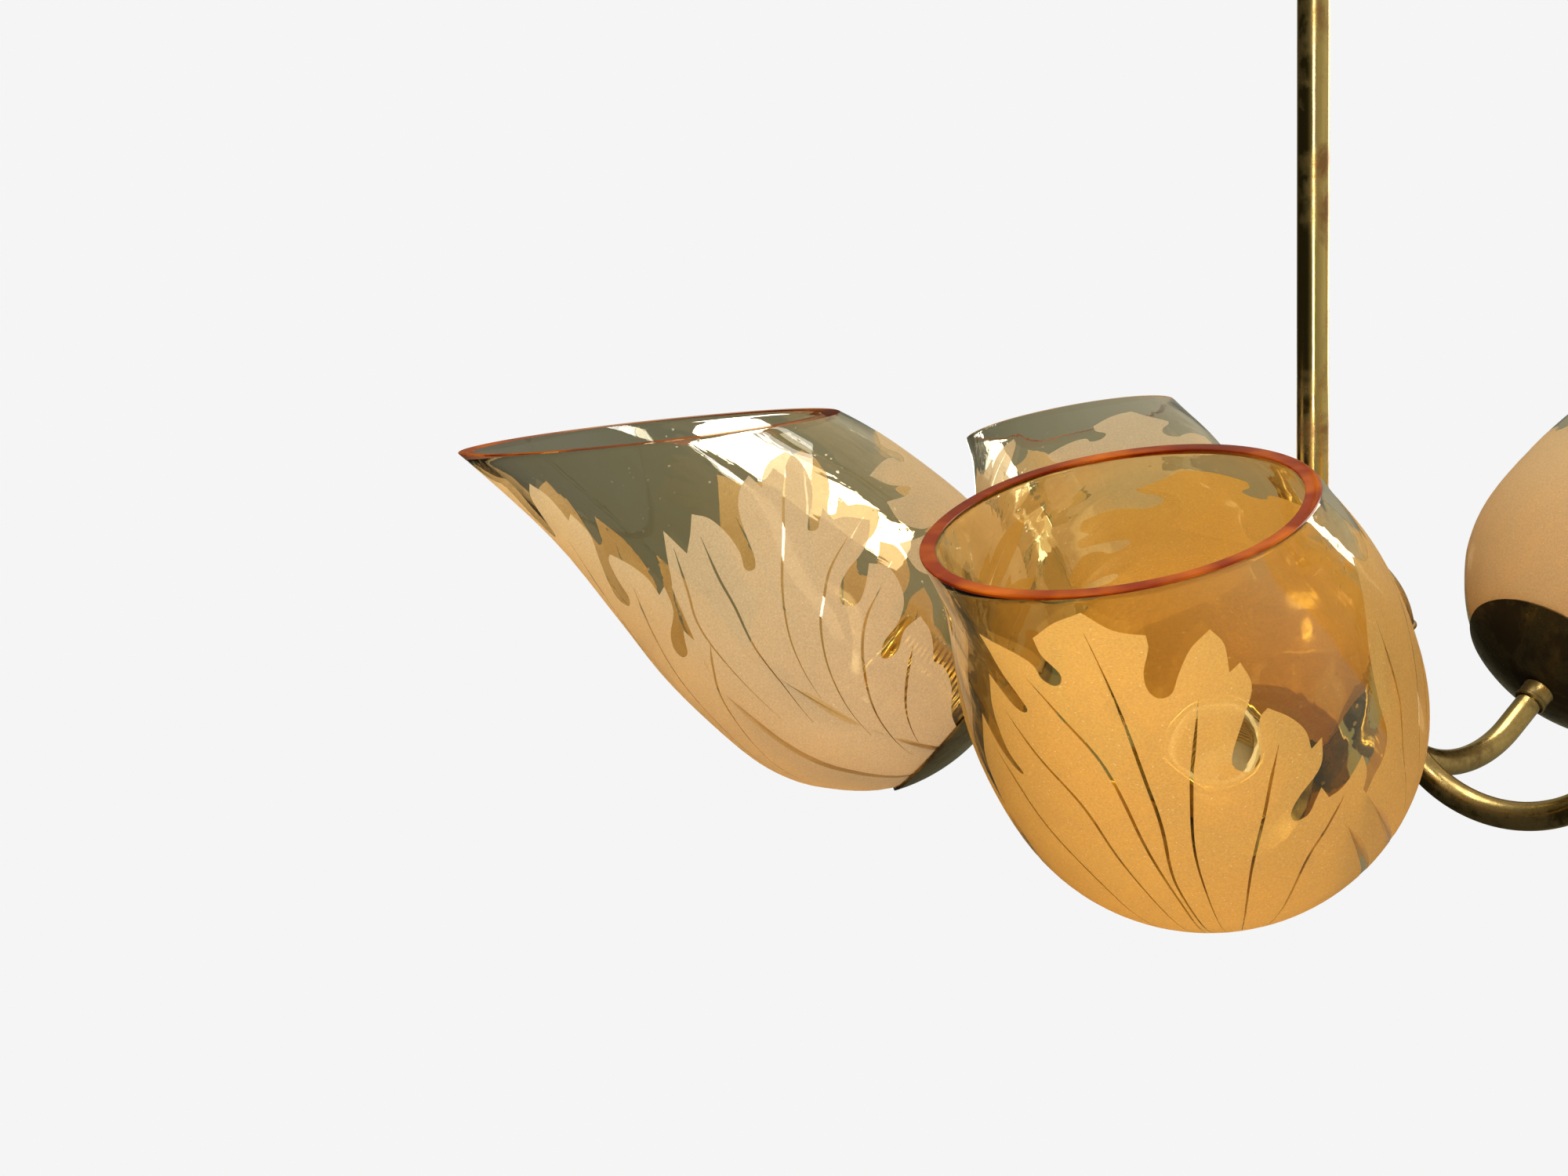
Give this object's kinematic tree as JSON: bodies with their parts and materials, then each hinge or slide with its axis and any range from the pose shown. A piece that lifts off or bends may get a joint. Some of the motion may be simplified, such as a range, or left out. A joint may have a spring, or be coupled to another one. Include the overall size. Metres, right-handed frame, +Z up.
{
  "type": "multi arm chandelier",
  "caption": "Hanging chandelier: curved brass arms on a domed hub at the foot of a stem, each arm with a cup, a screw lampholder and an etched amber glass shade.",
  "frame": {"origin": "the point inside the hanger's loop where the ceiling hook bears", "axes": "+Z up along the stem; +X level, along the hanger's pin; the third arm points along -X"},
  "size_m": [0.7007, 0.7452, 0.8921],
  "materials": {
    "satin_brass": "satin, aged",
    "dark_brass": "dark patina",
    "holder_brass": "polished, tarnished",
    "amber_glass": "blown, clear with etched leaves",
    "flex": "matt",
    "ceramic": "glazed",
    "steel": "plain"
  },
  "bodies": {
    "hanger": {"hanger_bail": "satin_brass", "bail_pin": "steel", "bail_nut": "steel"},
    "pendant": {"stem_head": "satin_brass", "earth_screw": "holder_brass", "terminal_block": "ceramic", "stem_tube": "satin_brass", "stem_cable": "flex", "hub_dome": "satin_brass", "hub_plate": "dark_brass", "hub_finial": "satin_brass", "dome_collar": "satin_brass", "stem_nut": "steel", "hub_connector": "ceramic", "arm_tube_1": "satin_brass", "arm_wire_1": "flex", "arm_nut_1": "steel", "arm_ferrule_1": "satin_brass", "cup_1": "dark_brass", "lampholder_1": "holder_brass", "shade_ring_1": "dark_brass", "arm_tube_2": "satin_brass", "arm_wire_2": "flex", "arm_nut_2": "steel", "arm_ferrule_2": "satin_brass", "cup_2": "dark_brass", "lampholder_2": "holder_brass", "shade_ring_2": "dark_brass", "arm_tube_3": "satin_brass", "arm_wire_3": "flex", "arm_nut_3": "steel", "arm_ferrule_3": "satin_brass", "cup_3": "dark_brass", "lampholder_3": "holder_brass", "shade_ring_3": "dark_brass", "arm_tube_4": "satin_brass", "arm_wire_4": "flex", "arm_nut_4": "steel", "arm_ferrule_4": "satin_brass", "cup_4": "dark_brass", "lampholder_4": "holder_brass", "shade_ring_4": "dark_brass", "arm_tube_5": "satin_brass", "arm_wire_5": "flex", "arm_nut_5": "steel", "arm_ferrule_5": "satin_brass", "cup_5": "dark_brass", "lampholder_5": "holder_brass", "shade_ring_5": "dark_brass"},
    "canopy": {"canopy": "satin_brass", "canopy_collar": "satin_brass", "canopy_set_screw": "holder_brass"},
    "shade_1": {"glass_shade_1": "amber_glass"},
    "shade_2": {"glass_shade_2": "amber_glass"},
    "shade_3": {"glass_shade_3": "amber_glass"},
    "shade_4": {"glass_shade_4": "amber_glass"},
    "shade_5": {"glass_shade_5": "amber_glass"}
  },
  "joints": [
    {"name": "pendant_swing", "type": "hinge", "parent": "hanger", "child": "pendant", "pos_m": [0, 0, -0.026], "axis": [1, 0, 0], "range_deg": [-5, 5]},
    {"name": "canopy_slide", "type": "slide", "parent": "pendant", "child": "canopy", "axis": [0, 0, 1], "range_m": [-0.15, 0]},
    {"name": "shade_turn_1", "type": "hinge", "parent": "pendant", "child": "shade_1", "pos_m": [0.1254, 0.09111, -0.82], "axis": [0.6375, 0.4632, 0.6157], "range_deg": [-180, 180]},
    {"name": "shade_turn_2", "type": "hinge", "parent": "pendant", "child": "shade_2", "pos_m": [-0.05046, 0.14655, -0.82], "axis": [-0.2667, 0.7745, 0.5736], "range_deg": [-180, 180]},
    {"name": "shade_turn_3", "type": "hinge", "parent": "pendant", "child": "shade_3", "pos_m": [-0.155, 0, -0.82], "axis": [-0.7547, 0, 0.6561], "range_deg": [-180, 180]},
    {"name": "shade_turn_4", "type": "hinge", "parent": "pendant", "child": "shade_4", "pos_m": [-0.0479, -0.14741, -0.82], "axis": [-0.25, -0.7694, 0.5878], "range_deg": [-180, 180]},
    {"name": "shade_turn_5", "type": "hinge", "parent": "pendant", "child": "shade_5", "pos_m": [0.1254, -0.09111, -0.82], "axis": [0.6461, -0.4694, 0.6018], "range_deg": [-180, 180]}
  ]
}
